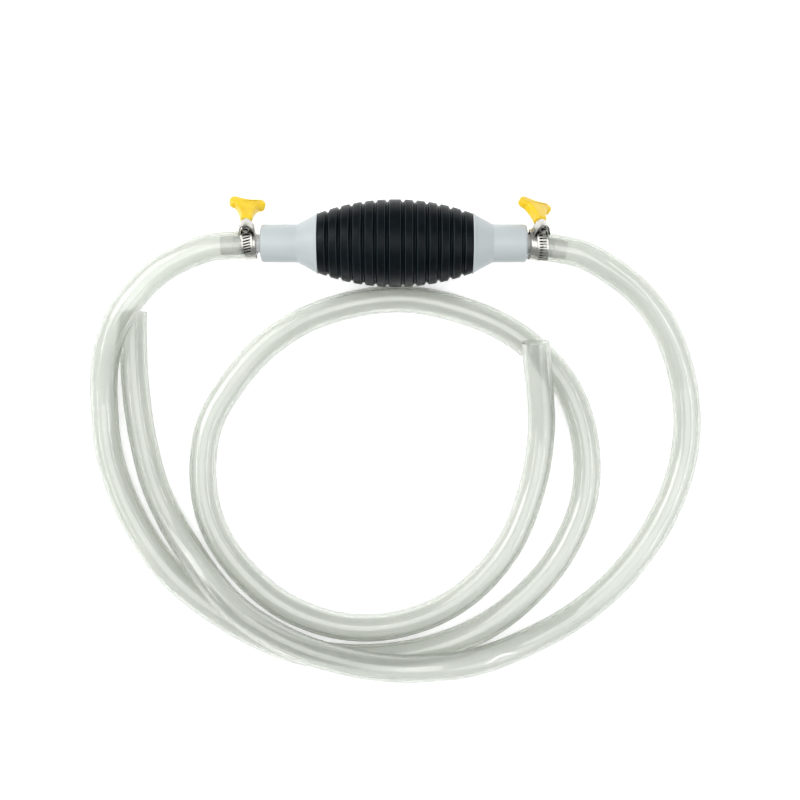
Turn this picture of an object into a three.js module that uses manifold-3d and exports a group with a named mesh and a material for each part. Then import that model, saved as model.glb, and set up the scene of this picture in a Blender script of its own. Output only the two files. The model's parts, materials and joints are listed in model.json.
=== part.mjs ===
// Hand-primed siphon pump: a ribbed rubber squeeze bulb between two one-way valves, with a clear hose
// clamped on each end. Millimetres, +Z up. The origin is on the surface that the pump lies on, under the
// middle of the bulb; the pump's axis runs along X. The inlet is at +X, the outlet at -X, and the liquid
// flows towards -X. Pieces that touch in the real pump keep a gap of 0.3 mm here.

import * as THREE from "three";
import { mergeVertices } from "three/addons/utils/BufferGeometryUtils.js";
import Module from "manifold-3d";

// ---- driving dimensions ----

const GAP = 0.3;
const ROUND = 20; // sides of a turned piece

const BULB_R = 27; // over the ribs, at the middle
const BULB_END_R = 18.5;
const BULB_HALF = 47.5; // half of the ribbed length
const GROOVES = 6; // on each side of the wide centre rib
const FIRST_GROOVE = 4.8; // distance of its middle from the middle of the bulb
const GROOVE_PITCH = 7.36;
const GROOVE_HALF = 1.3; // half of its width at the ribs' tops
const GROOVE_FLOOR = 0.3; // half of its width at the bottom
const GROOVE_DEPTH = 1.5;
const BULB_WALL = 4.2; // from the rib tops to the hollow
const BULB_FLOOR = 2.5; // thickness of the disc at each end
const NECK_BORE = 11;
const LIP_R = 15.2;
const LIP_LENGTH = 4;
const AXIS_Z = BULB_R; // height of the pump's axis

const CUP_R = LIP_R + GAP;
const RIM_R = 18.75;
const RIM_LENGTH = 0.8;
const CONE_END = 60.5; // distance of the cone's narrow end from the middle of the pump
const BODY_R = 11.75;
const SHOULDER_ROUND = 2;
const CHAMBER_R = 9;
const END_WALL = 3;
const SPIGOT_LENGTH = 25;
const SPIGOT_R = 5.7;
const SPIGOT_ROOT = 2; // length inside the end wall
const BARB_R = 6;
const BARB_PITCH = 6;
const BARB_START = 4;
const BARB_RAMP = 0.5;
const SPIGOT_BORE = 4.3;
const SPIGOT_TAPER = 1;

const SLEEVE_FLANGE_R = 14.5;
const SLEEVE_FLANGE = 1.7;
const SLEEVE_BORE = 6.5;
const SLEEVE_END = 58;

const HOSE_R = 8.75; // 17.5 mm outside
const HOSE_BORE_R = 6.35; // 12.7 mm inside
const HOSE_SIDES = 10;
const HOSE_STEP = 27; // one and a half diameters

const SEAT_R = CHAMBER_R - GAP;
const SEAT_LENGTH = 4;
const SEAT_ORIFICE = 4.5;
const SEAT_FLANGE = 1; // on each side of the groove for the O-ring
const O_RING_WIRE = 0.7;
const CAGE_WALL = 1.4;
const CAGE_LENGTH = 12;
const SPIDER = 2; // thickness of the cage's spider
const SPOKES = 4;
const SPOKE_WIDTH = 1.4;
const BOSS_R = 2.6;
const BOSS_BORE = 1.3;
const POPPET_R = 6;
const POPPET_DISC = 1.5;
const NOSE_R = SEAT_ORIFICE - GAP;
const NOSE_LENGTH = 2.4;
const STEM_R = 1;
const STEM_END = 14;
const SPRING_R = 3.4;
const SPRING_WIRE_R = 0.25;
const SPRING_TURNS = 4;

const BAND_WIDTH = 7;
const BAND_THICK = 0.6;
const BAND_R = HOSE_R + GAP + BAND_THICK / 2; // middle of the first layer
const TAIL_R = BAND_R + BAND_THICK + GAP; // middle of the tail lying on the first layer
const LIFT_R = 11.1; // middle of the band where it passes under the worm
const BAND_START = -12; // degrees from the housing, against the tail's direction
const BAND_RISE = [325, 358]; // where the band lifts from the hose to the worm
const BAND_FALL = [378, 402]; // where it comes down onto the first layer
const SLOT_FIRST = 6; // degrees from the end of the tail
const SLOT_LAST = 330; // degrees
const SLOT_STEP = 9.4; // degrees
const SLOT_SIZE = [4.6, 0.85, 1.4]; // across the band, along it, and deep
const SLOT_SLANT = 10;
const SCREW_N = 13.9; // distance of the screw's axis from the hose's axis
const HOUSING_FRONT = 3.2; // its reach from the middle, away from the key
const HOUSING_BACK = 4.2; // and towards the key
const HOUSING_LEG = 4.9;
const SHEET = 0.7;
const ARCH_R = 3.9;
const ARCH_TAPER = 0.9; // size of the arch at the key's side
const LEG_TOP = SCREW_N - 2;
const LEG_FOOT = BAND_R + BAND_THICK / 2 + GAP;
const WORM_CORE = 1.5;
const WORM_CREST = 2.2;
const WORM_PITCH = 1.7;
const WORM_HALF = 3;
const TIP_LENGTH = 1.5; // plain end of the screw beyond the worm
const HEX_R = 2.6; // over the corners of the screw's head
const HEX_LENGTH = 6;
const KEY_START = HOUSING_BACK + 0.6;
const KEY_BASE = HOUSING_BACK + 1;
const KEY_TOP = 25.8;
const KEY_HALF = 11.25;
const KEY_THICK = 6.8;
const NECK_R = 3.7;
const NECK_ROUND = 2;
const NECK_TOP = 8;
const WING_R = 3.7;
const KEY_BEVEL = 1;

// The two ends of the pump. The shoulder is the fitting's end face, at this distance from the middle of
// the pump. Each spigot leans towards -Y, bent by its hose. The clamp's housing is turned by clampTurn
// from the top towards +Y, and the clamp is tilted by clampTilt from square across its hose. The band
// runs sideways by bandPitch in one turn, and its tail ends at tailEnd, in degrees from the housing.
const ENDS = [
  {
    name: "inlet",
    side: 1,
    shoulder: 81.4,
    lean: 10,
    hoseGap: 1.9,
    seatFace: 73.7,
    clampAt: 7.1,
    clampTurn: 46,
    clampTilt: 15,
    bandPitch: 3.7,
    tailEnd: 470,
    keyTurn: -18,
  },
  {
    name: "outlet",
    side: -1,
    shoulder: 83,
    lean: 4,
    hoseGap: 2.8,
    seatFace: -63.3,
    clampAt: 7.6,
    clampTurn: 42,
    clampTilt: 1,
    bandPitch: 1.5,
    tailEnd: 441,
    keyTurn: -14,
  },
];

// Points of each hose's centreline after the straight stretch on its spigot.
const ROUTES = {
  inlet: [
    [118, -7.5, 26.5],
    [135, -17, 24.5],
    [153, -31, 21.5],
    [168, -50, 17.5],
    [178, -72, 13.5],
    [184, -97, 10],
    [184, -126, 9],
    [177, -154, 9],
    [162, -184, 9],
    [138, -214, 9],
    [109, -237, 9],
    [75, -253.5, 13],
    [57, -259, 18.5],
    [41, -262, 22.5],
    [25, -263, 25.5],
    [3, -263.5, 27],
    [-28, -259.5, 27],
    [-62, -249, 27],
    [-89, -234, 27],
    [-103, -223, 25.5],
    [-116, -209, 22],
    [-130, -191, 15],
    [-142, -173, 10.5],
    [-153, -149, 9],
    [-161, -116, 9],
    [-165, -84, 9],
    [-166, -62, 9],
    [-166, -41, 9],
  ],
  outlet: [
    [-124, -5.5, 27],
    [-138, -12, 27],
    [-152, -22, 27],
    [-168, -41, 27],
    [-177, -58, 23.5],
    [-182.5, -77, 17],
    [-184, -99, 11],
    [-181, -132, 9],
    [-168, -168, 9],
    [-143, -206, 9],
    [-108, -234, 9],
    [-67, -254, 9],
    [-33, -260, 9],
    [0, -259, 9],
    [31, -252, 9],
    [58, -240, 9],
    [85, -219, 9],
    [106, -193, 9],
    [120, -158, 9],
    [120, -121, 9],
    [109, -89, 9],
    [86, -63, 9],
    [56, -45, 9],
    [5, -33, 9],
    [-47, -42, 9],
    [-80, -61, 9],
    [-105, -89, 9],
    [-118, -113, 9],
    [-122, -141, 9],
    [-118, -170, 9],
    [-103, -198, 9],
    [-71, -227, 9],
    [-32, -240.5, 9],
    [5, -238.5, 9],
    [42, -222, 9],
    [71, -191, 9],
    [87, -152, 9],
    [92, -119, 12],
    [90.5, -92, 19.5],
    [88, -73, 26],
    [87, -61, 29],
  ],
};

// ---- materials ----

const finish = (color, roughness, metalness = 0) =>
  new THREE.MeshStandardMaterial({ color, roughness, metalness });

const blackRubber = () => finish(0x1b1e22, 0.55);
const whitePlastic = () => finish(0xe6eaf0, 0.4);
const clearPlastic = () => finish(0xc9d2c8, 0.2);
const nitrile = () => finish(0x151515, 0.6);
const springSteel = () => finish(0xb9bcc0, 0.3, 1);
const stainless = () => finish(0xb4b2aa, 0.3, 1);
const yellowPlastic = () => finish(0xf2c818, 0.35);

// ---- helpers ----

const wasm = await Module();
wasm.setup();

const radians = THREE.MathUtils.degToRad;

function solid(geometry) {
  const bare = geometry.clone();
  bare.deleteAttribute("normal");
  bare.deleteAttribute("uv");
  const merged = mergeVertices(bare, 1e-4);
  return new wasm.Manifold(
    new wasm.Mesh({
      numProp: 3,
      vertProperties: new Float32Array(merged.attributes.position.array),
      triVerts: new Uint32Array(merged.index.array),
    }),
  );
}

function geometryOf(manifold) {
  const { vertProperties, triVerts } = manifold.getMesh();
  const indexed = new THREE.BufferGeometry();
  indexed.setAttribute("position", new THREE.BufferAttribute(vertProperties, 3));
  indexed.setIndex(new THREE.BufferAttribute(triVerts, 1));
  const flat = indexed.toNonIndexed();
  flat.computeVertexNormals();
  return flat;
}

// A closed outline of [x, radius] points turned about the X axis.
function turned(outline, sides = ROUND) {
  let area = 0;
  outline.forEach(([x, r], i) => {
    const [nextX, nextR] = outline[(i + 1) % outline.length];
    area += x * nextR - nextX * r;
  });
  const points = outline.map(([x, r]) => new THREE.Vector2(r, x));
  if (area > 0) points.reverse();
  points.push(points[0]);
  return new THREE.LatheGeometry(points, sides).rotateZ(-Math.PI / 2);
}

function piece(name, geometry, material) {
  const mesh = new THREE.Mesh(geometry, material);
  mesh.name = name;
  return mesh;
}

// ---- squeeze bulb ----

const BULB_ARC_R = (BULB_HALF ** 2 + (BULB_R - BULB_END_R) ** 2) / (2 * (BULB_R - BULB_END_R));
const bulbRadius = (x) => BULB_R - BULB_ARC_R + Math.sqrt(BULB_ARC_R ** 2 - x ** 2);

function squeezeBulb() {
  const half = [];
  for (let i = 0; i < GROOVES; i++) {
    const middle = FIRST_GROOVE + i * GROOVE_PITCH;
    const bottom = bulbRadius(middle) - GROOVE_DEPTH;
    half.push([middle - GROOVE_HALF, bulbRadius(middle - GROOVE_HALF)]);
    half.push([middle - GROOVE_FLOOR, bottom]);
    half.push([middle + GROOVE_FLOOR, bottom]);
    half.push([middle + GROOVE_HALF, bulbRadius(middle + GROOVE_HALF)]);
  }
  half.push([BULB_HALF, BULB_END_R]);
  half.push([BULB_HALF, LIP_R]);
  half.push([BULB_HALF + LIP_LENGTH, LIP_R]);
  half.push([BULB_HALF + LIP_LENGTH, NECK_BORE]);
  const hollowEnd = BULB_HALF - BULB_FLOOR;
  half.push([hollowEnd, NECK_BORE]);
  for (const share of [1, 0.66, 0.33]) {
    const x = hollowEnd * share;
    half.push([x, bulbRadius(x) - BULB_WALL]);
  }
  const mirrored = half.map(([x, r]) => [-x, r]).reverse();
  const outline = [...half, [0, BULB_R - BULB_WALL], ...mirrored, [0, BULB_R]];
  return piece("squeeze_bulb", turned(outline), blackRubber());
}

// ---- end fittings, along +X from the middle of the pump ----

function spigotGeometry() {
  const outline = [[-SPIGOT_ROOT, 0], [-SPIGOT_ROOT, SPIGOT_R]];
  for (let x = BARB_START; x + BARB_PITCH < SPIGOT_LENGTH; x += BARB_PITCH) {
    outline.push([x, SPIGOT_R]);
    outline.push([x + BARB_RAMP, BARB_R]);
    outline.push([x + BARB_PITCH - BARB_RAMP, SPIGOT_R]);
  }
  outline.push([SPIGOT_LENGTH - SPIGOT_TAPER, SPIGOT_R]);
  outline.push([SPIGOT_LENGTH, SPIGOT_R - SPIGOT_TAPER / 2]);
  outline.push([SPIGOT_LENGTH, 0]);
  return turned(outline);
}

function endCap({ name, lean, shoulder }) {
  const chamberEnd = shoulder - END_WALL;
  const rimStart = BULB_HALF + GAP;
  const cupEnd = BULB_HALF + LIP_LENGTH + GAP;
  const shell = turned([
    [rimStart, CUP_R],
    [rimStart, RIM_R],
    [rimStart + RIM_LENGTH, RIM_R],
    [CONE_END, BODY_R],
    [shoulder - SHOULDER_ROUND, BODY_R],
    [shoulder, BODY_R - SHOULDER_ROUND],
    [shoulder, 0],
    [chamberEnd, 0],
    [chamberEnd, CHAMBER_R],
    [cupEnd, CHAMBER_R],
    [cupEnd, CUP_R],
  ]);
  const boreStart = -END_WALL - 1;
  const bore = turned([
    [boreStart, 0],
    [boreStart, SPIGOT_BORE],
    [SPIGOT_LENGTH + 1, SPIGOT_BORE],
    [SPIGOT_LENGTH + 1, 0],
  ]);
  const leaned = (geometry) => geometry.rotateZ(-radians(lean)).translate(shoulder, 0, 0);
  const cap = solid(shell).add(solid(leaned(spigotGeometry()))).subtract(solid(leaned(bore)));
  return piece(name + "_end_cap", geometryOf(cap), whitePlastic());
}

function retainingSleeve({ name }) {
  const flangeStart = BULB_HALF - BULB_FLOOR - GAP - SLEEVE_FLANGE;
  const neckEnd = BULB_HALF + LIP_LENGTH;
  const tube = turned([
    [flangeStart, SLEEVE_BORE],
    [flangeStart, SLEEVE_FLANGE_R],
    [flangeStart + SLEEVE_FLANGE, SLEEVE_FLANGE_R],
    [flangeStart + SLEEVE_FLANGE, NECK_BORE - GAP],
    [neckEnd, NECK_BORE - GAP],
    [neckEnd, CHAMBER_R - GAP],
    [SLEEVE_END, CHAMBER_R - GAP],
    [SLEEVE_END, SLEEVE_BORE],
  ]);
  return piece(name + "_retaining_sleeve", tube, whitePlastic());
}

// ---- one-way valve, with the flow along its own +X and the seat's face at x = 0 ----

class Helix extends THREE.Curve {
  constructor(radius, from, to, turns) {
    super();
    Object.assign(this, { radius, from, to, turns });
  }
  getPoint(t, target = new THREE.Vector3()) {
    const angle = t * this.turns * 2 * Math.PI;
    const x = this.from + t * (this.to - this.from);
    return target.set(x, this.radius * Math.cos(angle), this.radius * Math.sin(angle));
  }
}

function polygon(radius, sides) {
  const shape = new THREE.Shape();
  for (let i = 0; i < sides; i++) {
    const angle = ((i + 0.5) / sides) * 2 * Math.PI;
    const at = [radius * Math.cos(angle), radius * Math.sin(angle)];
    if (i === 0) shape.moveTo(...at);
    else shape.lineTo(...at);
  }
  shape.closePath();
  return shape;
}

function valveSeat({ name }) {
  const grooveR = CHAMBER_R - 2 * O_RING_WIRE - 2 * GAP;
  const ring = turned([
    [-SEAT_LENGTH, SEAT_ORIFICE],
    [-SEAT_LENGTH, SEAT_R],
    [-SEAT_LENGTH + SEAT_FLANGE, SEAT_R],
    [-SEAT_LENGTH + SEAT_FLANGE, grooveR],
    [-SEAT_FLANGE, grooveR],
    [-SEAT_FLANGE, SEAT_R],
    [0, SEAT_R],
    [0, SEAT_ORIFICE],
  ]);
  return piece(name + "_valve_seat", ring, whitePlastic());
}

function valveORing({ name }) {
  const ring = new THREE.TorusGeometry(CHAMBER_R - GAP - O_RING_WIRE, O_RING_WIRE, 6, ROUND);
  ring.rotateY(Math.PI / 2).translate(-SEAT_LENGTH / 2, 0, 0);
  return piece(name + "_valve_o_ring", ring, nitrile());
}

function valveCage({ name }) {
  const tubeBore = SEAT_R - CAGE_WALL;
  const hoop = turned([
    [GAP, tubeBore],
    [GAP, SEAT_R],
    [CAGE_LENGTH, SEAT_R],
    [CAGE_LENGTH, tubeBore],
  ]);
  const boss = turned([
    [CAGE_LENGTH - SPIDER, BOSS_BORE],
    [CAGE_LENGTH - SPIDER, BOSS_R],
    [CAGE_LENGTH, BOSS_R],
    [CAGE_LENGTH, BOSS_BORE],
  ]);
  let cage = solid(hoop).add(solid(boss));
  const from = (BOSS_BORE + BOSS_R) / 2;
  const to = tubeBore + CAGE_WALL / 2;
  for (let i = 0; i < SPOKES; i++) {
    const spoke = new THREE.BoxGeometry(SPIDER - 0.2, SPOKE_WIDTH, to - from);
    spoke.translate(CAGE_LENGTH - SPIDER / 2, 0, (from + to) / 2);
    spoke.rotateX((i / SPOKES) * 2 * Math.PI);
    cage = cage.add(solid(spoke));
  }
  return piece(name + "_valve_cage", geometryOf(cage), whitePlastic());
}

function valvePoppet({ name }) {
  const poppet = turned([
    [-NOSE_LENGTH, 0],
    [-NOSE_LENGTH * 0.75, NOSE_R * 0.6],
    [GAP, NOSE_R],
    [GAP, POPPET_R],
    [GAP + POPPET_DISC, POPPET_R],
    [GAP + POPPET_DISC, STEM_R],
    [STEM_END, STEM_R],
    [STEM_END, 0],
  ]);
  return piece(name + "_valve_poppet", poppet, whitePlastic());
}

function valveSpring({ name }) {
  const from = POPPET_DISC + 2 * GAP + SPRING_WIRE_R;
  const to = CAGE_LENGTH - SPIDER - GAP - SPRING_WIRE_R;
  const coil = new THREE.ExtrudeGeometry(polygon(SPRING_WIRE_R, 5), {
    extrudePath: new Helix(SPRING_R, from, to, SPRING_TURNS),
    steps: SPRING_TURNS * 9,
    bevelEnabled: false,
  });
  return piece(name + "_valve_spring", coil, springSteel());
}

function valve(end) {
  const group = new THREE.Group();
  group.add(valveSeat(end), valveORing(end), valveCage(end), valvePoppet(end), valveSpring(end));
  group.rotation.z = Math.PI;
  group.position.x = end.seatFace;
  return group;
}

// ---- hoses ----

function hoseCurve({ name, side, shoulder, lean, hoseGap }) {
  const along = (distance) =>
    new THREE.Vector3(
      side * (shoulder + distance * Math.cos(radians(lean))),
      -distance * Math.sin(radians(lean)),
      AXIS_Z,
    );
  const straight = [hoseGap, SPIGOT_LENGTH / 2, SPIGOT_LENGTH, SPIGOT_LENGTH + 5].map(along);
  const free = ROUTES[name].map((point) => new THREE.Vector3(...point));
  return new THREE.CatmullRomCurve3([...straight, ...free], false, "centripetal");
}

function hose(end) {
  const curve = hoseCurve(end);
  curve.arcLengthDivisions = 2000;
  const section = polygon(HOSE_R, HOSE_SIDES);
  section.holes.push(polygon(HOSE_BORE_R / Math.cos(Math.PI / HOSE_SIDES), HOSE_SIDES));
  const tube = new THREE.ExtrudeGeometry(section, {
    extrudePath: curve,
    steps: Math.round(curve.getLength() / HOSE_STEP),
    bevelEnabled: false,
  });
  return piece(end.name + "_hose", tube, clearPlastic());
}

// ---- hose clamp: the hose's axis is X, the housing is on top and the key points along +Y ----

// Middle radius of the band at an angle counted from the housing, over the top and round once.
function bandRadius(degrees) {
  const rise = THREE.MathUtils.smoothstep(degrees, ...BAND_RISE);
  const fall = THREE.MathUtils.smoothstep(degrees, ...BAND_FALL);
  return BAND_R + (LIFT_R - BAND_R) * rise - (LIFT_R - TAIL_R) * fall;
}

// Shift of the band's middle along the hose, away from the bulb.
function bandShift(degrees, { clampTilt, bandPitch }) {
  const tilt = BAND_R * Math.tan(radians(clampTilt)) * Math.sin(radians(degrees));
  return bandPitch * (degrees / 360 - 1) + tilt;
}

function clampBand(end) {
  const { name, side, tailEnd } = end;
  const strip = new THREE.BoxGeometry(tailEnd - BAND_START, BAND_WIDTH, BAND_THICK, 64, 1, 1);
  const at = strip.attributes.position;
  for (let i = 0; i < at.count; i++) {
    const degrees = at.getX(i) + (BAND_START + tailEnd) / 2;
    const r = bandRadius(degrees) + at.getZ(i);
    const turn = radians(degrees);
    const x = at.getY(i) + side * bandShift(degrees, end);
    at.setXYZ(i, x, -r * Math.sin(turn), r * Math.cos(turn));
  }
  let band = solid(strip);
  for (let degrees = tailEnd - SLOT_FIRST; degrees > SLOT_LAST; degrees -= SLOT_STEP) {
    const slot = new THREE.BoxGeometry(...SLOT_SIZE);
    slot.rotateZ(radians(SLOT_SLANT));
    const bottom = bandRadius(degrees) - (BAND_THICK + GAP) / 2;
    slot.translate(side * bandShift(degrees, end), 0, bottom + SLOT_SIZE[2] / 2);
    slot.rotateX(radians(degrees));
    band = band.subtract(solid(slot));
  }
  return piece(name + "_clamp_band", geometryOf(band), stainless());
}

function clampHousing({ name }) {
  const inner = ARCH_R - SHEET;
  const shape = new THREE.Shape();
  shape.moveTo(-HOUSING_LEG, LEG_FOOT);
  shape.lineTo(-HOUSING_LEG + SHEET, LEG_FOOT);
  shape.lineTo(-HOUSING_LEG + SHEET, LEG_TOP);
  shape.lineTo(-inner, SCREW_N);
  shape.absarc(0, SCREW_N, inner, Math.PI, 0, true);
  shape.lineTo(HOUSING_LEG - SHEET, LEG_TOP);
  shape.lineTo(HOUSING_LEG - SHEET, LEG_FOOT);
  shape.lineTo(HOUSING_LEG, LEG_FOOT);
  shape.lineTo(HOUSING_LEG, LEG_TOP);
  shape.lineTo(ARCH_R, SCREW_N);
  shape.absarc(0, SCREW_N, ARCH_R, 0, Math.PI, false);
  shape.lineTo(-HOUSING_LEG, LEG_TOP);
  shape.closePath();
  const arch = new THREE.ExtrudeGeometry(shape, {
    depth: HOUSING_FRONT + HOUSING_BACK,
    bevelEnabled: false,
    curveSegments: 10,
  });
  arch.translate(0, 0, -HOUSING_BACK).rotateX(Math.PI / 2);
  const at = arch.attributes.position;
  for (let i = 0; i < at.count; i++) {
    const n = at.getZ(i);
    if (at.getY(i) < 0 || n < LEG_TOP + 0.01) continue;
    at.setX(i, at.getX(i) * ARCH_TAPER);
    at.setZ(i, LEG_TOP + (n - LEG_TOP) * ARCH_TAPER);
  }
  arch.computeVertexNormals();
  return piece(name + "_clamp_housing", arch, stainless());
}

// A screw with its axis on Y, at the height of the screw's axis.
function clampScrew({ name, keyTurn }) {
  const rows = 20;
  const neckR = WORM_CORE - 0.2;
  const tip = -WORM_HALF - TIP_LENGTH;
  const outline = [[tip, 0], [tip, neckR - 0.2], [tip + 0.9, neckR]];
  for (let i = 0; i <= rows; i++) outline.push([WORM_HALF * ((2 * i) / rows - 1), WORM_CORE]);
  outline.push([KEY_START, neckR], [KEY_START, 0]);
  const worm = turned(outline, 12);
  const at = worm.attributes.position;
  for (let i = 0; i < at.count; i++) {
    const x = at.getX(i);
    const onCore = Math.hypot(at.getY(i), at.getZ(i)) > WORM_CORE - 0.01;
    if (!onCore || Math.abs(x) > WORM_HALF - 0.01) continue;
    const phase = x / WORM_PITCH - Math.atan2(at.getZ(i), at.getY(i)) / (2 * Math.PI);
    const height = 1 - 2 * Math.abs(phase - Math.floor(phase) - 0.5);
    const grow = 1 + (WORM_CREST / WORM_CORE - 1) * height;
    at.setY(i, at.getY(i) * grow);
    at.setZ(i, at.getZ(i) * grow);
  }
  const head = turned(
    [
      [KEY_START - 0.3, 0],
      [KEY_START - 0.3, HEX_R],
      [KEY_START + HEX_LENGTH, HEX_R],
      [KEY_START + HEX_LENGTH, 0],
    ],
    6,
  );
  const screw = geometryOf(solid(worm).add(solid(head)));
  screw.rotateZ(Math.PI / 2).rotateY(-radians(keyTurn)).translate(0, 0, SCREW_N);
  return piece(name + "_clamp_screw", screw, stainless());
}

// A butterfly key whose socket fits over the screw's hexagonal head.
function clampKey({ name, keyTurn }) {
  const wingU = KEY_HALF - WING_R;
  const wingV = KEY_TOP - WING_R;
  const curveU = NECK_R + 1; // control point of the curve from the neck to a wing
  const curveV = wingV - 7.5;
  const dip = KEY_TOP - 3.6; // control point of the hollow between the wings
  const shape = new THREE.Shape();
  const cornerU = NECK_R - NECK_ROUND;
  const cornerV = KEY_BASE + NECK_ROUND;
  shape.moveTo(-cornerU, KEY_BASE);
  shape.lineTo(cornerU, KEY_BASE);
  shape.absarc(cornerU, cornerV, NECK_ROUND, -Math.PI / 2, 0, false);
  shape.lineTo(NECK_R, NECK_TOP);
  shape.quadraticCurveTo(curveU, curveV, wingU, wingV - WING_R);
  shape.absarc(wingU, wingV, WING_R, -Math.PI / 2, Math.PI / 2, false);
  shape.quadraticCurveTo(0, dip, -wingU, KEY_TOP);
  shape.absarc(-wingU, wingV, WING_R, Math.PI / 2, (3 * Math.PI) / 2, false);
  shape.quadraticCurveTo(-curveU, curveV, -NECK_R, NECK_TOP);
  shape.lineTo(-NECK_R, cornerV);
  shape.absarc(-cornerU, cornerV, NECK_ROUND, Math.PI, (3 * Math.PI) / 2, false);
  const bar = new THREE.ExtrudeGeometry(shape, {
    depth: KEY_THICK - 2 * KEY_BEVEL,
    bevelThickness: KEY_BEVEL,
    bevelSize: 0.8 * KEY_BEVEL,
    bevelOffset: -0.8 * KEY_BEVEL,
    bevelSegments: 1,
    curveSegments: 5,
  });
  bar.translate(0, 0, KEY_BEVEL - KEY_THICK / 2);
  const socketR = HEX_R + GAP / Math.cos(Math.PI / 6);
  const socket = turned(
    [
      [0, 0],
      [0, socketR],
      [KEY_START + HEX_LENGTH + GAP, socketR],
      [KEY_START + HEX_LENGTH + GAP, 0],
    ],
    6,
  );
  const key = geometryOf(solid(bar).subtract(solid(socket.rotateZ(Math.PI / 2))));
  key.rotateY(-radians(keyTurn)).translate(0, 0, SCREW_N);
  return piece(name + "_clamp_key", key, yellowPlastic());
}

function hoseClamp(end) {
  const tilted = new THREE.Group();
  tilted.add(clampHousing(end), clampScrew(end), clampKey(end));
  tilted.rotation.z = end.side * radians(end.clampTilt);
  const onHose = new THREE.Group();
  onHose.add(clampBand(end), tilted);
  onHose.rotation.x = -radians(end.clampTurn);
  onHose.position.x = end.side * end.clampAt;
  return onHose;
}

// ---- assembly ----

const pump = new THREE.Group();
pump.position.z = AXIS_Z;
pump.add(squeezeBulb());

const siphon = new THREE.Group();
siphon.add(pump);

for (const end of ENDS) {
  const fitting = new THREE.Group();
  fitting.add(endCap(end), retainingSleeve(end));
  if (end.side < 0) fitting.scale.x = -1;
  pump.add(fitting, valve(end));
  const spigot = new THREE.Group();
  spigot.position.x = end.side * end.shoulder;
  spigot.rotation.z = -end.side * radians(end.lean);
  spigot.add(hoseClamp(end));
  pump.add(spigot);
  siphon.add(hose(end));
}

export default siphon;
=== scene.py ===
"""Looks of the hand-primed siphon pump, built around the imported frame. Lengths are in millimetres up to
piece(), which makes them metres. +X runs along the pump towards the inlet, +Z is up."""

import json
import math

import bmesh
import bpy
from mathutils import Matrix, Vector


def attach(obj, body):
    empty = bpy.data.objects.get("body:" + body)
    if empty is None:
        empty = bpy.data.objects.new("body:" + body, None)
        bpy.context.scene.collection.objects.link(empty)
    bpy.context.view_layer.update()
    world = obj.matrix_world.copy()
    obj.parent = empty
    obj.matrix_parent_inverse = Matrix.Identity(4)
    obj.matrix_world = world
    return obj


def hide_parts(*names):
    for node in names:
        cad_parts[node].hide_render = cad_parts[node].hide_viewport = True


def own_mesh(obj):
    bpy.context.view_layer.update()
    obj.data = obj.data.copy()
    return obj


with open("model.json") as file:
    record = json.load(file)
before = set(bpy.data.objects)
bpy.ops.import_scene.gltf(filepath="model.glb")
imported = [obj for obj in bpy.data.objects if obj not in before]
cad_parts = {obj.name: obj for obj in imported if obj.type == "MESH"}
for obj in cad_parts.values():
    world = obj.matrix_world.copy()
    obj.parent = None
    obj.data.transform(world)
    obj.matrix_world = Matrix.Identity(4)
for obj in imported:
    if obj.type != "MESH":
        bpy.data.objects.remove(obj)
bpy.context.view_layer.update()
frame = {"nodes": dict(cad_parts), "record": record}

MM = 0.001
GAP = 0.3

BULB_R = 27
BULB_END_R = 18.5
BULB_HALF = 47.5
BULB_WALL = 4.2
BULB_MOUTH_R = 11
BULB_END_WALL = 2.5
LIP_LENGTH = 3
GROOVES = 6
FIRST_GROOVE = 4.8
GROOVE_PITCH = 7.36
GROOVE_HALF = 1.45
GROOVE_FLOOR = 0.3
GROOVE_DEPTH = 1.5
LIP_R = 15.2
BULB_SIDES = 160
AXIS_Z = BULB_R

RIM_R = 18.75
RIM_LENGTH = 0.9
CONE_END = 60.5
BODY_R = 11.75
CUP_R = 15.5
CUP_DEPTH = 4
CHAMBER_R = 9
PORT_R = 3
END_WALL = 3
CAP_SIDES = 128
SPIGOT_LENGTH = 25
SPIGOT_R = 5.7
BARB_R = 6.2
BARB_PITCH = 6
SPIGOT_BORE = 4.3
SPIGOT_ROOT = 1.2  # how far the spigot starts inside the end wall
SPIGOT_INSET = 0.1  # the spigot's end stays this far inside its full length
FIRST_BARB = 4
BARBS = 3
SPIGOT_SIDES = 64

HOSE_R = 8.75
HOSE_BORE_R = 6.35
HOSE_SIDES = 60
HOSE_STEP = 3

SPRING_R = 3.4
SPRING_WIRE_R = 0.25
SPRING_TURNS = 4
SPRING_START = 2.35  # from the valve seat's face
SPRING_LENGTH = 7.1

BAND_HALF = 3.5
BAND_THICK = 0.6
BAND_R = HOSE_R + GAP + BAND_THICK / 2
TAIL_R = BAND_R + BAND_THICK + GAP
LIFT_R = 11.1
BAND_START = -12
BAND_RISE = (325, 358)
BAND_FALL = (378, 402)
SLOT_FIRST = 6
SLOT_LAST = 330
SLOT_STEP = 9.4
SLOT_HALF = 2.3
SLOT_WIDTH = 0.85
SLOT_SLANT = math.radians(10)
SHADE_HALF = 2.6  # half the width of the painted shadow strip under the tail
SHADE_SHORT = 2  # degrees that the painted shadow strip ends before the tail does
SCREW_N = 13.9
HOUSING_FRONT = 3.2
HOUSING_BACK = 4.2
HOUSING_LEG = 4.9
SHEET = 0.7
ARCH_R = 3.9
ARCH_TAPER = 0.9
LEG_TOP = SCREW_N - 2
LEG_FOOT = BAND_R + BAND_THICK / 2 + GAP
WORM_CORE = 1.5
WORM_CREST = 2.3
WORM_PITCH = 1.7
WORM_HALF = 3
WORM_TIP = 1.5
WORM_SHADE = 0.8  # how dark the thread's roots are, of 1
HEX_R = 2.6
HEX_LENGTH = 6
KEY_START = HOUSING_BACK + 0.6
KEY_BASE = HOUSING_BACK + 1
KEY_TOP = 25.8
KEY_HALF = 11.25
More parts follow.
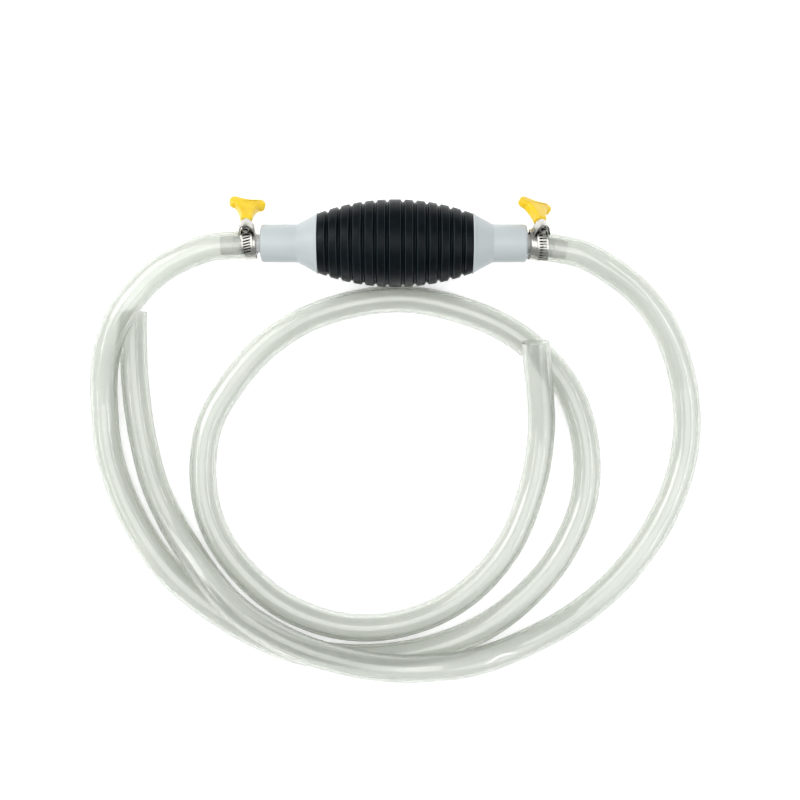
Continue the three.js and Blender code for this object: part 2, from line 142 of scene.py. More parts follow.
KEY_THICK = 6.8
NECK_R = 3.7
NECK_ROUND = 2
NECK_TOP = 8
WING_R = 3.7
WING_THINNING = 0.16  # share of the thickness that the wings lose towards their tips
WING_THIN_ZONE = (3.5, 9)  # where it is lost, across the key
KEY_FILLET = 1.9

ENDS = [
    {
        "name": "inlet",
        "side": 1,
        "shoulder": 81.4,
        "lean": 10,
        "hose_gap": 1.9,
        "seat": 73.7,
        "clamp_at": 7.1,
        "clamp_turn": 46,
        "clamp_tilt": 15,
        "band_pitch": 3.7,
        "tail_end": 470,
        "key_turn": -18,
    },
    {
        "name": "outlet",
        "side": -1,
        "shoulder": 83,
        "lean": 4,
        "hose_gap": 2.8,
        "seat": -63.3,
        "clamp_at": 7.6,
        "clamp_turn": 42,
        "clamp_tilt": 1,
        "band_pitch": 1.5,
        "tail_end": 441,
        "key_turn": -14,
    },
]

# Points of each hose's centreline after the straight stretch on its spigot.
ROUTES = {
    "inlet": [
        (118, -7.5, 26.5), (135, -17, 24.5), (153, -31, 21.5), (168, -50, 17.5), (178, -72, 13.5),
        (184, -97, 10), (184, -126, 9), (177, -154, 9), (162, -184, 9), (138, -214, 9),
        (109, -237, 9), (75, -253.5, 13), (57, -259, 18.5), (41, -262, 22.5), (25, -263, 25.5),
        (3, -263.5, 27), (-28, -259.5, 27), (-62, -249, 27), (-89, -234, 27), (-103, -223, 25.5),
        (-116, -209, 22), (-130, -191, 15), (-142, -173, 10.5), (-153, -149, 9), (-161, -116, 9),
        (-165, -84, 9), (-166, -62, 9), (-166, -41, 9),
    ],
    "outlet": [
        (-124, -5.5, 27), (-138, -12, 27), (-152, -22, 27), (-168, -41, 27), (-177, -58, 23.5),
        (-182.5, -77, 17), (-184, -99, 11), (-181, -132, 9), (-168, -168, 9), (-143, -206, 9),
        (-108, -234, 9), (-67, -254, 9), (-33, -260, 9), (0, -259, 9), (31, -252, 9),
        (58, -240, 9), (85, -219, 9), (106, -193, 9), (120, -158, 9), (120, -121, 9),
        (109, -89, 9), (86, -63, 9), (56, -45, 9), (5, -33, 9), (-47, -42, 9),
        (-80, -61, 9), (-105, -89, 9), (-118, -113, 9), (-122, -141, 9), (-118, -170, 9),
        (-103, -198, 9), (-71, -227, 9), (-32, -240.5, 9), (5, -238.5, 9), (42, -222, 9),
        (71, -191, 9), (87, -152, 9), (92, -119, 12), (90.5, -92, 19.5), (88, -73, 26),
        (87, -61, 29),
    ],
}

# ---- camera ----

camera = bpy.data.objects.new("camera", bpy.data.cameras.new("camera"))
bpy.context.scene.collection.objects.link(camera)
camera.location = (0.003, -0.097, 0.8)
camera.data.sensor_width = 36
camera.data.lens = 56.16
bpy.context.scene.camera = camera

# ---- materials ----


def new_material(name, **values):
    """A Principled material with these socket values; returns it with its node tree and shader."""
    material = bpy.data.materials.new(name)
    material.use_nodes = True
    tree = material.node_tree
    shader = tree.nodes["Principled BSDF"]
    for socket, value in values.items():
        shader.inputs[socket.replace("_", " ")].default_value = value
    return material, tree, shader


def attribute_node(tree, name, output="Vector"):
    node = tree.nodes.new("ShaderNodeAttribute")
    node.attribute_name = name
    return node.outputs[output]


def noise_node(tree, scale, detail=4, stretch=None, attribute=None):
    """Noise over the object's own coordinates, or over a vector attribute."""
    texture = tree.nodes.new("ShaderNodeTexNoise")
    texture.inputs["Scale"].default_value = scale
    texture.inputs["Detail"].default_value = detail
    if attribute:
        origin = attribute_node(tree, attribute)
    else:
        origin = tree.nodes.new("ShaderNodeTexCoord").outputs["Object"]
    if stretch:
        mapping = tree.nodes.new("ShaderNodeMapping")
        mapping.inputs["Scale"].default_value = stretch
        tree.links.new(origin, mapping.inputs["Vector"])
        origin = mapping.outputs["Vector"]
    tree.links.new(origin, texture.inputs["Vector"])
    return texture.outputs["Fac"]


def mixed(tree, share, low, high):
    """The colour low where share is 0 and high where it is 1; each is a colour or an output."""
    node = tree.nodes.new("ShaderNodeMix")
    node.data_type = "RGBA"
    tree.links.new(share, node.inputs["Factor"])
    for socket, value in (("A", low), ("B", high)):
        if isinstance(value, tuple):
            node.inputs[socket].default_value = (*value, 1)
        else:
            tree.links.new(value, node.inputs[socket])
    return node.outputs["Result"]


def ramp(tree, value, low, high, start=0.35, end=0.65):
    """Colours or numbers from low to high as value goes from start to end."""
    if isinstance(low, tuple):
        node = tree.nodes.new("ShaderNodeValToRGB")
        node.color_ramp.elements[0].position = start
        node.color_ramp.elements[0].color = (*low, 1)
        node.color_ramp.elements[1].position = end
        node.color_ramp.elements[1].color = (*high, 1)
        tree.links.new(value, node.inputs["Fac"])
        return node.outputs["Color"]
    node = tree.nodes.new("ShaderNodeMapRange")
    for socket, number in zip(("From Min", "From Max", "To Min", "To Max"), (start, end, low, high)):
        node.inputs[socket].default_value = number
    tree.links.new(value, node.inputs["Value"])
    return node.outputs["Result"]


def bump(tree, shader, height, distance):
    node = tree.nodes.new("ShaderNodeBump")
    node.inputs["Strength"].default_value = 1
    node.inputs["Distance"].default_value = distance
    tree.links.new(height, node.inputs["Height"])
    tree.links.new(node.outputs["Normal"], shader.inputs["Normal"])


def rubber():
    """Rubber with a painted highlight, partly also edge wear, along the groove crests, where the
    per-vertex attribute is 1.
    """
    material, tree, shader = new_material("black_rubber", Specular_IOR_Level=0.11)
    tone = ramp(tree, noise_node(tree, 60), (0.001, 0.003, 0.0045), (0.003, 0.006, 0.0078))
    # painted highlight, partly edge wear: the groove crests mixed towards a lighter blue-grey
    tone = mixed(tree, attribute_node(tree, "painted_light", "Fac"), tone, (0.05, 0.068, 0.076))
    tree.links.new(tone, shader.inputs["Base Color"])
    tree.links.new(ramp(tree, noise_node(tree, 240), 0.3, 0.42), shader.inputs["Roughness"])
    bump(tree, shader, noise_node(tree, 1400, 6), 0.00004)
    return material


def white_plastic():
    """Cool white plastic, painted near white where the per-vertex attribute is 1: painted light that
    lifts the shade the hose casts on the spigot.
    """
    material, tree, shader = new_material("white_plastic", Specular_IOR_Level=0.45)
    tone = ramp(tree, noise_node(tree, 35), (0.475, 0.515, 0.52), (0.515, 0.56, 0.565))
    # painted light: the spigot inside the hose mixed to near white
    tone = mixed(tree, attribute_node(tree, "painted_light", "Fac"), tone, (0.97, 0.97, 0.95))
    tree.links.new(tone, shader.inputs["Base Color"])
    tree.links.new(ramp(tree, noise_node(tree, 180), 0.3, 0.42), shader.inputs["Roughness"])
    bump(tree, shader, noise_node(tree, 700, 5), 0.00003)
    return material


def clear_pvc():
    """Soft PVC: milky inside, glossy outside, and greener where the light goes further through it."""
    material, tree, shader = new_material(
        "clear_pvc",
        IOR=1.46,
        Transmission_Weight=0.85,
        Coat_Weight=0.8,
        Coat_Roughness=0.04,
    )
    cloud = noise_node(tree, 90, 3, (1, 1, 0.25), attribute="lay")
    tone = ramp(tree, cloud, (0.94, 0.955, 0.935), (0.98, 0.985, 0.975))
    tree.links.new(tone, shader.inputs["Base Color"])
    streaks = noise_node(tree, 420, 5, (1, 1, 0.02), attribute="lay")
    tree.links.new(ramp(tree, streaks, 0.18, 0.26), shader.inputs["Roughness"])
    bump(tree, shader, streaks, 0.000003)
    haze = tree.nodes.new("ShaderNodeVolumeAbsorption")
    haze.inputs["Color"].default_value = (0.27, 0.38, 0.13, 1)
    haze.inputs["Density"].default_value = 60
    tree.links.new(haze.outputs["Volume"], tree.nodes["Material Output"].inputs["Volume"])
    return material


def yellow_plastic():
    material, tree, shader = new_material("yellow_plastic", Specular_IOR_Level=0.5)
    tone = ramp(tree, noise_node(tree, 120), (0.80, 0.52, 0.008), (0.88, 0.61, 0.014))
    tree.links.new(tone, shader.inputs["Base Color"])
    tree.links.new(ramp(tree, noise_node(tree, 400), 0.24, 0.38), shader.inputs["Roughness"])
    bump(tree, shader, noise_node(tree, 900, 5), 0.00004)
    return material


def steel(name, color, low, high):
    """Steel, near black where the per-vertex attribute is 1: painted shade."""
    material, tree, shader = new_material(name, Metallic=1.0)
    dull = tuple(0.88 * c for c in color)
    tone = ramp(tree, noise_node(tree, 150), dull, color)
    # painted shade: near black in the thread roots, under the tail, on the band's inner face and inside
    # the housing
    tone = mixed(tree, attribute_node(tree, "painted_light", "Fac"), tone, (0.035, 0.033, 0.03))
    grain = noise_node(tree, 1500, 6)
    tree.links.new(tone, shader.inputs["Base Color"])
    tree.links.new(ramp(tree, grain, low, high), shader.inputs["Roughness"])
    bump(tree, shader, grain, 0.000006)
    return material


def nitrile():
    material, tree, shader = new_material("nitrile", Specular_IOR_Level=0.4)
    tone = ramp(tree, noise_node(tree, 300), (0.010, 0.010, 0.010), (0.022, 0.022, 0.022))
    tree.links.new(tone, shader.inputs["Base Color"])
    tree.links.new(ramp(tree, noise_node(tree, 800), 0.45, 0.6), shader.inputs["Roughness"])
    bump(tree, shader, noise_node(tree, 2500), 0.00001)
    return material


MATERIALS = {
    "black_rubber": rubber(),
    "white_plastic": white_plastic(),
    "clear_pvc": clear_pvc(),
    "nitrile": nitrile(),
    "spring_steel": steel("spring_steel", (0.60, 0.60, 0.60), 0.2, 0.35),
    "stainless": steel("stainless", (0.56, 0.55, 0.51), 0.2, 0.34),
    "yellow_plastic": yellow_plastic(),
}

# ---- mesh helpers ----


def piece(
    name, verts, faces, slot, body, replaces=(), place=None, sharp=35, bevel=0, lay=None, painted_light=None
):
    """A closed mesh, given in millimetres in the frame of place; lay and each vertex's share of painted
    light and shade are its attributes.
    """
    place = place or Matrix.Identity(4)
    mesh = bpy.data.meshes.new(name)
    mesh.from_pydata([(place @ Vector(v)) * MM for v in verts], [], faces)
    if lay:
        attribute = mesh.attributes.new("lay", "FLOAT_VECTOR", "POINT")
        attribute.data.foreach_set("vector", [c * MM for point in lay for c in point])
    # painted light and shade: a float per vertex that the materials mix towards a painted highlight or
    # painted shade colour
    attribute = mesh.attributes.new("painted_light", "FLOAT", "POINT")
    attribute.data.foreach_set("value", painted_light or [0.0] * len(verts))
    work = bmesh.new()
    work.from_mesh(mesh)
    bmesh.ops.recalc_face_normals(work, faces=work.faces)
    if bevel:
        edges = [e for e in work.edges if e.calc_face_angle(0) > math.radians(sharp)]
        bmesh.ops.bevel(work, geom=edges, offset=bevel * MM, segments=2, profile=0.6, affect="EDGES")
    for face in work.faces:
        face.smooth = True
    for edge in work.edges:
        edge.smooth = edge.calc_face_angle(0) < math.radians(sharp)
    work.to_mesh(mesh)
    work.free()
    mesh.materials.append(MATERIALS[slot])
    made = bpy.data.objects.new(name, mesh)
    bpy.context.scene.collection.objects.link(made)
    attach(made, body)
    if replaces:
        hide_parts(*replaces)
    return made


def rounded(outline, segments=4):
    """The outline with each corner that has a third number rounded by that fillet. A fourth number is the
    corner's share of painted highlight, and each point of the result has that share in the third place."""
    result = []
    for i, point in enumerate(outline):
        here = Vector(point[:2])
        if len(point) < 3:
            result.append((*here, 0.0))
            continue
        before = Vector(outline[i - 1][:2]) - here
        after = Vector(outline[(i + 1) % len(outline)][:2]) - here
        half = before.angle(after) / 2
        cut = min(point[2] / math.tan(half), 0.48 * before.length, 0.48 * after.length)
        first = here + before.normalized() * cut
        last = here + after.normalized() * cut
        for k in range(segments + 1):
            t = k / segments
            spot = first * (1 - t) ** 2 + here * 2 * t * (1 - t) + last * t**2
            result.append((*spot, point[3] if len(point) > 3 and 0 < k < segments else 0.0))
    return result


def turned(outline, sides):
    """Vertices and faces of a closed outline of (x, radius, painted highlight share) points turned about
    the X axis.
    """
    verts, rings, faces = [], [], []
    for x, r, _ in outline:
        start = len(verts)
        if r < 1e-6:
            verts.append((x, 0, 0))
            rings.append([start] * sides)
            continue
        for k in range(sides):
            angle = 2 * math.pi * k / sides
            verts.append((x, r * math.cos(angle), r * math.sin(angle)))
        rings.append(list(range(start, start + sides)))
    for i, ring in enumerate(rings):
        following = rings[(i + 1) % len(rings)]
        for k in range(sides):
            nxt = (k + 1) % sides
            corners = []
            for corner in (ring[k], ring[nxt], following[nxt], following[k]):
                if corner not in corners:
                    corners.append(corner)
            if len(corners) > 2:
                faces.append(corners)
    return verts, faces


def swept(sections):
    """Vertices and faces of rings of equal size joined in order, and the last to the first."""
    size = len(sections[0])
    verts = [v for section in sections for v in section]
    faces = []
    for i in range(len(sections)):
        j = (i + 1) % len(sections)
        for k in range(size):
            nxt = (k + 1) % size
            faces.append((i * size + k, i * size + nxt, j * size + nxt, j * size + k))
    return verts, faces


def capped(sections):
    """Like swept, but with a flat cap on the first and the last ring."""
    size = len(sections[0])
    verts, faces = swept(sections)
    faces = faces[: (len(sections) - 1) * size]
    faces.append(tuple(range(size)))
    faces.append(tuple(range(len(verts) - size, len(verts))))
    return verts, faces


def smoothstep(value, low, high):
    t = min(max((value - low) / (high - low), 0), 1)
    return t * t * (3 - 2 * t)


def spigot_place(end):
    """The frame at the fitting's shoulder, with the spigot pointing away from the bulb."""
    turn = Matrix.Rotation(-end["side"] * math.radians(end["lean"]), 4, "Z")
    return Matrix.Translation((end["side"] * end["shoulder"], 0, AXIS_Z)) @ turn


# ---- hoses ----


def catmull(points, step):
    """Points at an even step along the centripetal Catmull-Rom curve through the points."""
    points = [2 * points[0] - points[1], *points, 2 * points[-1] - points[-2]]
    fine = []
    for p0, p1, p2, p3 in zip(points, points[1:], points[2:], points[3:]):
        t1 = (p1 - p0).length ** 0.5
        t2 = t1 + (p2 - p1).length ** 0.5
        t3 = t2 + (p3 - p2).length ** 0.5
        for k in range(40):
            t = t1 + (t2 - t1) * k / 40
            a1 = p0 * ((t1 - t) / t1) + p1 * (t / t1)
            a2 = p1 * ((t2 - t) / (t2 - t1)) + p2 * ((t - t1) / (t2 - t1))
            a3 = p2 * ((t3 - t) / (t3 - t2)) + p3 * ((t - t2) / (t3 - t2))
            b1 = a1 * ((t2 - t) / t2) + a2 * (t / t2)
            b2 = a2 * ((t3 - t) / (t3 - t1)) + a3 * ((t - t1) / (t3 - t1))
            fine.append(b1 * ((t2 - t) / (t2 - t1)) + b2 * ((t - t1) / (t2 - t1)))
    fine.append(points[-2])
    total = sum((b - a).length for a, b in zip(fine, fine[1:]))
    count = round(total / step)
    line, travelled, i = [fine[0]], 0.0, 0
    for k in range(1, count):
        target = total * k / count
        while travelled + (fine[i + 1] - fine[i]).length < target:
            travelled += (fine[i + 1] - fine[i]).length
            i += 1
        share = (target - travelled) / (fine[i + 1] - fine[i]).length
        line.append(fine[i].lerp(fine[i + 1], share))
    line.append(fine[-1])
    return line, total


def hose(end):
    side, shoulder, lean = end["side"], end["shoulder"], math.radians(end["lean"])
    straight = [
        Vector((side * (shoulder + d * math.cos(lean)), -d * math.sin(lean), AXIS_Z))
        for d in (end["hose_gap"], SPIGOT_LENGTH / 2, SPIGOT_LENGTH, SPIGOT_LENGTH + 5)
    ]
    line, length = catmull(straight + [Vector(p) for p in ROUTES[end["name"]]], HOSE_STEP)
    last = len(line) - 1
    frames = []
    for i, centre in enumerate(line):
        tangent = (line[min(i + 1, last)] - line[max(i - 1, 0)]).normalized()
        across = tangent.cross(Vector((0, 0, 1))).normalized()
        frames.append((centre, tangent, across, across.cross(tangent)))
    cut = 0.25
    outer = [(0, 0, HOSE_R - cut), (0, cut, HOSE_R)]
    outer += [(i, 0, HOSE_R) for i in range(1, last)]
    outer += [(last, -cut, HOSE_R), (last, 0, HOSE_R - cut)]
    inner = [(last, 0, HOSE_BORE_R + cut), (last, -cut, HOSE_BORE_R)]
    inner += [(i, 0, HOSE_BORE_R) for i in range(last - 1, 0, -1)]
    inner += [(0, cut, HOSE_BORE_R), (0, 0, HOSE_BORE_R + cut)]
    sections, lay = [], []
    for i, shift, radius in outer + inner:
        centre, tangent, across, up = frames[i]
        ring = []
        for k in range(HOSE_SIDES):
            angle = 2 * math.pi * k / HOSE_SIDES
            x, y = radius * math.cos(angle), radius * math.sin(angle)
            ring.append(centre + tangent * shift + across * x + up * y)
            lay.append((x, y, i * HOSE_STEP))
        sections.append(ring)
    name = end["name"] + "_hose"
    made = piece(name + "_tube", *swept(sections), "clear_pvc", "pump", [name], lay=lay)
    return made, line, length


hoses = {end["name"]: hose(end) for end in ENDS}

# ---- squeeze bulb ----

BULB_ARC_R = (BULB_HALF**2 + (BULB_R - BULB_END_R) ** 2) / (2 * (BULB_R - BULB_END_R))


def bulb_radius(x):
    return BULB_R - BULB_ARC_R + math.sqrt(BULB_ARC_R**2 - x**2)


def squeeze_bulb():
    half = [(0, BULB_R), (FIRST_GROOVE - GROOVE_HALF - 1, BULB_R - 0.02)]
    for i in range(GROOVES):
        middle = FIRST_GROOVE + i * GROOVE_PITCH
        bottom = bulb_radius(middle) - GROOVE_DEPTH
        before, after = middle - GROOVE_HALF, middle + GROOVE_HALF
        # the fourth number, 0.5, is the share of painted highlight, partly edge wear, on each groove
        # crest
        half.append((before, bulb_radius(before), 0.45, 0.5))
        half.append((middle - GROOVE_FLOOR, bottom, 0.2))
        half.append((middle + GROOVE_FLOOR, bottom, 0.2))
        half.append((after, bulb_radius(after), 0.45, 0.5))
        for share in (0.3, 0.5, 0.7):
            x = after + share * (GROOVE_PITCH - 2 * GROOVE_HALF)
            half.append((x, bulb_radius(x)))
    half.append((BULB_HALF, BULB_END_R, 0.8))
    half.append((BULB_HALF, LIP_R))
    half.append((BULB_HALF + LIP_LENGTH, LIP_R))
    half.append((BULB_HALF + LIP_LENGTH, BULB_MOUTH_R))
    half.append((BULB_HALF - BULB_END_WALL, BULB_MOUTH_R))
    for share in (0.8, 0.55, 0.3):
        x = BULB_HALF * share
        half.append((x, bulb_radius(x) - BULB_WALL))
    mirrored = [(-p[0], *p[1:]) for p in reversed(half[1:])]
    outline = rounded(half + [(0, BULB_R - BULB_WALL)] + mirrored)
    place = Matrix.Translation((0, 0, AXIS_Z))
    # painted highlight on the groove crests, one share per vertex
    painted_light = [point[2] for point in outline for _ in range(BULB_SIDES)]
    mesh = turned(outline, BULB_SIDES)
    piece("bulb", *mesh, "black_rubber", "pump", ["squeeze_bulb"], place, sharp=60, painted_light=painted_light)


squeeze_bulb()

# ---- end fittings ----


def end_cap(end):
    start = BULB_HALF + GAP
    shoulder = end["shoulder"]
    outline = [
        (start, CUP_R),
        (start, RIM_R, 0.2),
        (start + RIM_LENGTH, RIM_R, 0.3),
        (start + RIM_LENGTH + 0.5, RIM_R - 0.9, 0.2),
        (CONE_END, BODY_R, 1.2),
        (shoulder, BODY_R, 2.3),
        (shoulder, PORT_R),
        (shoulder - END_WALL, PORT_R),
        (shoulder - END_WALL, CHAMBER_R),
        (start + CUP_DEPTH, CHAMBER_R),
        (start + CUP_DEPTH, CUP_R),
    ]
    place = Matrix.Translation((0, 0, AXIS_Z)) @ Matrix.Diagonal((end["side"], 1, 1, 1))
    name = end["name"]
    mesh = turned(rounded(outline, 8), CAP_SIDES)
    piece(name + "_end_fitting", *mesh, "white_plastic", "pump", [name + "_end_cap"], place)


def spigot(end):
    outline = [(-SPIGOT_ROOT, SPIGOT_BORE), (-SPIGOT_ROOT, SPIGOT_R)]
    for i in range(BARBS):
        x = FIRST_BARB + i * BARB_PITCH
        outline.append((x, SPIGOT_R, 0.1))
        outline.append((x + 0.5, BARB_R, 0.1))
        outline.append((x + BARB_PITCH - 0.5, SPIGOT_R, 0.2))
    outline.append((SPIGOT_LENGTH - SPIGOT_INSET, SPIGOT_R, 0.5))
    outline.append((SPIGOT_LENGTH - SPIGOT_INSET, SPIGOT_BORE, 0.2))
    place = spigot_place(end) @ Matrix.Diagonal((end["side"], 1, 1, 1))
    verts, faces = turned(rounded(outline, 3), SPIGOT_SIDES)
    # painted light over the whole spigot, which the hose around it would otherwise shade
    spigot_painted_light = [1.0] * len(verts)
    piece(end["name"] + "_spigot", verts, faces, "white_plastic", "pump", (), place, painted_light=spigot_painted_light)


def valve_spring(end):
    count = SPRING_TURNS * 40
    sections = []
    for i in range(count + 1):
        angle = 2 * math.pi * SPRING_TURNS * i / count
        outward = Vector((0, math.cos(angle), math.sin(angle)))
        along = SPRING_START + SPRING_LENGTH * i / count
        centre = Vector((along, 0, 0)) + outward * SPRING_R
        ring = []
        for k in range(10):
            a = 2 * math.pi * k / 10
            ring.append(centre + SPRING_WIRE_R * (outward * math.cos(a) + Vector((math.sin(a), 0, 0))))
        sections.append(ring)
    place = Matrix.Translation((end["seat"], 0, AXIS_Z)) @ Matrix.Rotation(math.pi, 4, "Z")
    name = end["name"] + "_valve_spring"
    made = piece(name + "_coil", *capped(sections), "spring_steel", "pump", [name], place)
    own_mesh(made)


for end in ENDS:
    end_cap(end)
    spigot(end)
    valve_spring(end)

# ---- hose clamps: the hose's axis is X, the housing is on top and the key points along +Y ----


def band_radius(degrees):
    rise = smoothstep(degrees, *BAND_RISE)
    fall = smoothstep(degrees, *BAND_FALL)
    return BAND_R + (LIFT_R - BAND_R) * rise - (LIFT_R - TAIL_R) * fall


def band_shift(degrees, end):
    """Shift of the band's middle along the hose, away from the bulb."""
    tilt = BAND_R * math.tan(math.radians(end["clamp_tilt"])) * math.sin(math.radians(degrees))
    return end["band_pitch"] * (degrees / 360 - 1) + tilt


def clamp_band(end, place):
    tail_end = end["tail_end"]
    slots = []
    middle = tail_end - SLOT_FIRST
    while middle > SLOT_LAST:
        half = math.degrees(SLOT_WIDTH / 2 / band_radius(middle))
        slots.append((middle - half, middle + half))
        middle -= SLOT_STEP
    slots.reverse()
    first = slots[0][0]
    plain = math.floor((first - BAND_START) / 5)
    columns = [BAND_START + (first - BAND_START) * i / plain for i in range(plain)]
    open_columns = set()
    for start, stop in slots:
        open_columns.add(len(columns))
        columns += [start, stop]
    columns.append(tail_end)
    rows = [-BAND_HALF, -SLOT_HALF, 0, SLOT_HALF, BAND_HALF]
    verts, faces, painted_light = [], [], []
    for degrees in columns:
        slant = math.tan(SLOT_SLANT) * smoothstep(degrees, first - 12, first)
        if degrees == tail_end:
            slant *= 0.5
        for across in rows:
            at = degrees - math.degrees(across * slant / band_radius(degrees))
            turn = math.radians(at)
            x = across + end["side"] * band_shift(at, end)
            for rise in (-BAND_THICK / 2, BAND_THICK / 2):
                r = band_radius(at) + rise
                verts.append((x, -r * math.sin(turn), r * math.cos(turn)))
                # painted shade on the band's inner face, and a painted shadow strip on the layer under
                # the tail's slots
                off_tail = abs(across - end["side"] * end["band_pitch"])
                painted_shade_under_tail = degrees < tail_end - 360 - SHADE_SHORT and off_tail < SHADE_HALF
                painted_light.append(1.0 if painted_shade_under_tail or rise < 0 else 0.0)

    def corner(column, row, top):
        return (column * len(rows) + row) * 2 + top

    cells = {
        (c, r)
        for c in range(len(columns) - 1)
        for r in range(4)
        if not (r in (1, 2) and c in open_columns)
    }
    for c, r in sorted(cells):
        for top in (0, 1):
            around = ((c, r), (c + 1, r), (c + 1, r + 1), (c, r + 1))
            faces.append([corner(*at, top) for at in around])
        sides = [
            ((c - 1, r), (c, r), (c, r + 1)),
            ((c + 1, r), (c + 1, r), (c + 1, r + 1)),
            ((c, r - 1), (c, r), (c + 1, r)),
            ((c, r + 1), (c, r + 1), (c + 1, r + 1)),
        ]
        for neighbour, a, b in sides:
            if neighbour not in cells:
                faces.append([corner(*a, 0), corner(*b, 0), corner(*b, 1), corner(*a, 1)])
    name = end["name"] + "_clamp_band"
    return piece(name + "_strip", verts, faces, "stainless", "pump", [name], place, bevel=0.1, painted_light=painted_light)


def clamp_housing(end, place):
    inner = ARCH_R - SHEET
    outline = [(HOUSING_LEG, LEG_FOOT), (HOUSING_LEG, LEG_TOP), (ARCH_R, SCREW_N)]
    steps = 16
    for k in range(1, steps):
        angle = math.pi * k / steps
        outline.append((ARCH_R * math.cos(angle), SCREW_N + ARCH_R * math.sin(angle)))
    outline += [(-ARCH_R, SCREW_N), (-HOUSING_LEG, LEG_TOP), (-HOUSING_LEG, LEG_FOOT)]
    outline += [(-HOUSING_LEG + SHEET, LEG_FOOT), (-HOUSING_LEG + SHEET, LEG_TOP), (-inner, SCREW_N)]
    for k in range(steps - 1, 0, -1):
        angle = math.pi * k / steps
        outline.append((inner * math.cos(angle), SCREW_N + inner * math.sin(angle)))
    outline += [(inner, SCREW_N), (HOUSING_LEG - SHEET, LEG_TOP), (HOUSING_LEG - SHEET, LEG_FOOT)]
    sections = []
    for y, size in ((-HOUSING_FRONT, 1), (HOUSING_BACK, ARCH_TAPER)):
        ring = []
        for x, z in outline:
            high = z > LEG_TOP + 0.01
            ring.append((x * size, y, LEG_TOP + (z - LEG_TOP) * size) if high else (x, y, z))
        sections.append(ring)
    name = end["name"] + "_clamp_housing"
    # painted shade on the housing's inner faces, under the arch and inside the legs
    inside = [1.0 if k > steps + 4 else 0.0 for k in range(len(outline))] * 2
    mesh = capped(sections)
    return piece(name + "_sheet", *mesh, "stainless", "pump", [name], place, bevel=0.14, painted_light=inside)


def clamp_screw(end, place):
    tip = -WORM_HALF - WORM_TIP
    rows, sides = 90, 40
    sections, painted_light = [], []
    for i in range(rows + 1):
        x = tip + (KEY_START - tip) * i / rows
        ring = []
        for k in range(sides):
            angle = 2 * math.pi * k / sides
            phase = x / WORM_PITCH - angle / (2 * math.pi)
            wave = 2 * abs(phase - math.floor(phase) - 0.5)
            thread = smoothstep(wave, 0.3, 0.7) * smoothstep(WORM_HALF - abs(x), 0, 0.8)
            r = WORM_CORE - 0.2 + (WORM_CREST - WORM_CORE + 0.2) * thread
            if i == 0:
                r -= 0.3
            ring.append((-r * math.cos(angle), x, r * math.sin(angle)))
            # painted shade in the thread's roots
            painted_light.append(WORM_SHADE * (1 - thread) if i else 0.0)
        sections.append(ring)
    name = end["name"]
    body = name + "_clamp_turn"
    mesh = capped(sections)
    piece(name + "_clamp_worm", *mesh, "stainless", body, [name + "_clamp_screw"], place, painted_light=painted_light)
    hexagon = []
    for y, r in ((KEY_START - 0.3, HEX_R), (KEY_START + HEX_LENGTH, HEX_R)):
        ring = []
        for k in range(6):
            angle = math.pi * k / 3
            ring.append((r * math.cos(angle), y, r * math.sin(angle)))
        hexagon.append(ring)
    piece(name + "_clamp_screw_head", *capped(hexagon), "stainless", body, (), place, bevel=0.2)


def key_outline():
    """The butterfly key's outline, as (across, along the screw), counter-clockwise."""
    wing_u, wing_v = KEY_HALF - WING_R, KEY_TOP - WING_R
    right = []
    for k in range(7):
        angle = math.pi / 2 * (k / 6 - 1)
        u = NECK_R - NECK_ROUND + NECK_ROUND * math.cos(angle)
        right.append((u, KEY_BASE + NECK_ROUND + NECK_ROUND * math.sin(angle)))
    start, bend = Vector((NECK_R, NECK_TOP)), Vector((NECK_R + 1, wing_v - 7.5))
    stop = Vector((wing_u, wing_v - WING_R))
    for k in range(9):
        t = k / 8
        right.append(tuple(start * (1 - t) ** 2 + bend * 2 * t * (1 - t) + stop * t * t))
    for k in range(1, 16):
        angle = -math.pi / 2 + math.pi * k / 16
        right.append((wing_u + WING_R * math.cos(angle), wing_v + WING_R * math.sin(angle)))
    start, bend = Vector((wing_u, KEY_TOP)), Vector((0, KEY_TOP - 3.6))
    stop = Vector((-wing_u, KEY_TOP))
    top = []
    for k in range(13):
        t = k / 12
        top.append(tuple(start * (1 - t) ** 2 + bend * 2 * t * (1 - t) + stop * t * t))
    left = [(-u, v) for u, v in reversed(right)]
    return right + top + left


def clamp_key(end, place):
    outline = [Vector(p) for p in key_outline()]
    count = len(outline)
    outward = []
    for i, point in enumerate(outline):
        run = (outline[(i + 1) % count] - outline[i - 1]).normalized()
        outward.append(Vector((run.y, -run.x)))
    half = KEY_THICK / 2
    sections = []
    steps = 6
    levels = []
    for k in range(steps + 1):
        angle = math.pi / 2 * k / steps
        inset = KEY_FILLET * (1 - math.sin(angle))
        levels.append((inset, half - KEY_FILLET * (1 - math.cos(angle))))
    below = [(inset, -height) for inset, height in levels]
    levels = below + levels[::-1]
    for inset, height in levels:
        ring = []
        for point, out in zip(outline, outward):
            spot = point - out * inset
            thin = 1 - WING_THINNING * smoothstep(abs(spot.x), *WING_THIN_ZONE)
            ring.append((spot.x, spot.y, height * thin))
        sections.append(ring)
    name = end["name"]
    body = name + "_clamp_turn"
    mesh = capped(sections)
    node = name + "_clamp_key"
    piece(name + "_butterfly_key", *mesh, "yellow_plastic", body, [node], place, sharp=50)


for end in ENDS:
    around = spigot_place(end) @ Matrix.Translation((end["side"] * end["clamp_at"], 0, 0))
    around = around @ Matrix.Rotation(-math.radians(end["clamp_turn"]), 4, "X")
    tilted = around @ Matrix.Rotation(end["side"] * math.radians(end["clamp_tilt"]), 4, "Z")
    on_screw = tilted @ Matrix.Translation((0, 0, SCREW_N))
    on_screw = on_screw @ Matrix.Rotation(-math.radians(end["key_turn"]), 4, "Y")
    band = clamp_band(end, around)
    housing = clamp_housing(end, tilted)
    clamp_screw(end, on_screw)
    clamp_key(end, on_screw)

# ---- hidden valve pieces keep their own shape ----

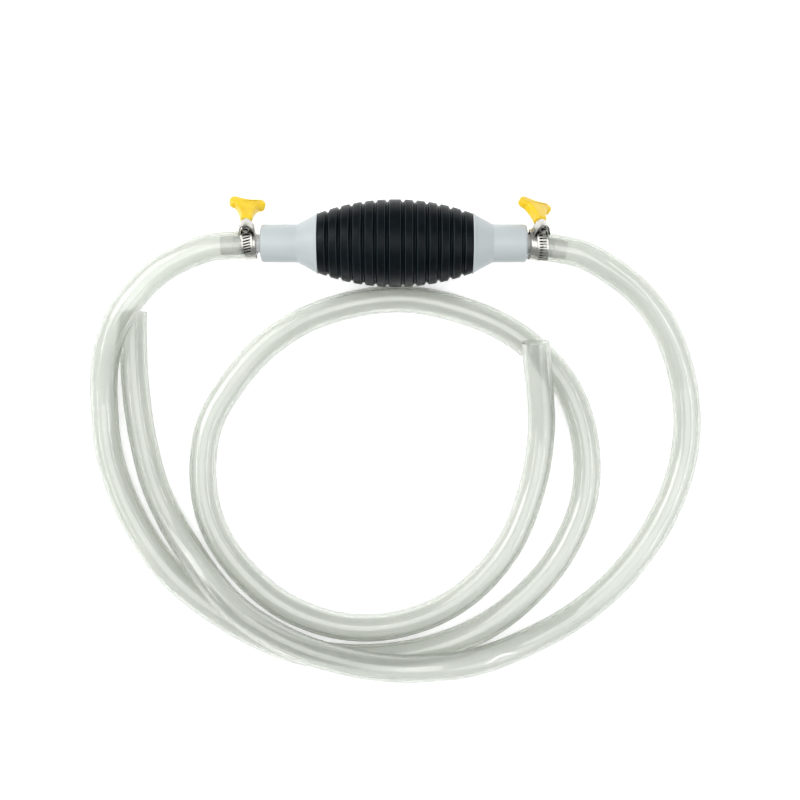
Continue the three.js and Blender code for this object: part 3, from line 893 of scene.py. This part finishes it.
for part in frame["record"]["subparts"]:
    node = frame["nodes"][part["node"]]
    if not node.hide_render:
        node.material_slots[0].material = MATERIALS[part["material_slot"]]

# ---- studio, in metres ----

FLOOR_HALF = 6


def studio_floor():
    mesh = bpy.data.meshes.new("studio_floor")
    corners = [(-1, -1), (1, -1), (1, 1), (-1, 1)]
    mesh.from_pydata([(x * FLOOR_HALF, y * FLOOR_HALF, 0) for x, y in corners], [], [(0, 1, 2, 3)])
    made = bpy.data.objects.new("studio_floor", mesh)
    bpy.context.scene.collection.objects.link(made)
    material, tree, shader = new_material("studio_white", Roughness=0.9, Specular_IOR_Level=0.1)
    tone = ramp(tree, noise_node(tree, 3), (0.90, 0.90, 0.90), (0.92, 0.92, 0.92))
    tree.links.new(tone, shader.inputs["Base Color"])
    shader.inputs["Emission Color"].default_value = (1, 1, 1, 1)
    shader.inputs["Emission Strength"].default_value = 0.5
    mesh.materials.append(material)


def area_light(name, at, aim, size, power, color=(1, 1, 1)):
    data = bpy.data.lights.new(name, "AREA")
    data.shape = "RECTANGLE"
    data.size, data.size_y = size
    data.energy = power
    data.color = color
    made = bpy.data.objects.new(name, data)
    bpy.context.scene.collection.objects.link(made)
    made.location = at
    made.rotation_euler = (Vector(aim) - Vector(at)).to_track_quat("-Z", "Y").to_euler()


studio_floor()
area_light("key_light", (-1.1, 0.55, 1.2), (0, -0.1, 0), (1.1, 1.1), 13)
area_light("fill_light", (0.9, -0.5, 0.9), (0, -0.1, 0), (0.9, 0.9), 3.5, (0.95, 0.98, 1))
area_light("top_light", (0, -0.1, 1.7), (0, -0.1, 0), (1.2, 1.2), 9)
area_light("left_strip", (-1.2, -0.1, 1.1), (0, -0.1, 0), (1.4, 0.1), 4.5)
area_light("right_strip", (1.0, -0.1, 1.3), (0, -0.1, 0), (1.4, 0.08), 3)

world = bpy.data.worlds.new("studio")
world.use_nodes = True
background = world.node_tree.nodes["Background"]
background.inputs["Color"].default_value = (0.96, 0.98, 1.0, 1)
background.inputs["Strength"].default_value = 0.4
bpy.context.scene.world = world
bpy.context.scene.view_settings.view_transform = "Standard"
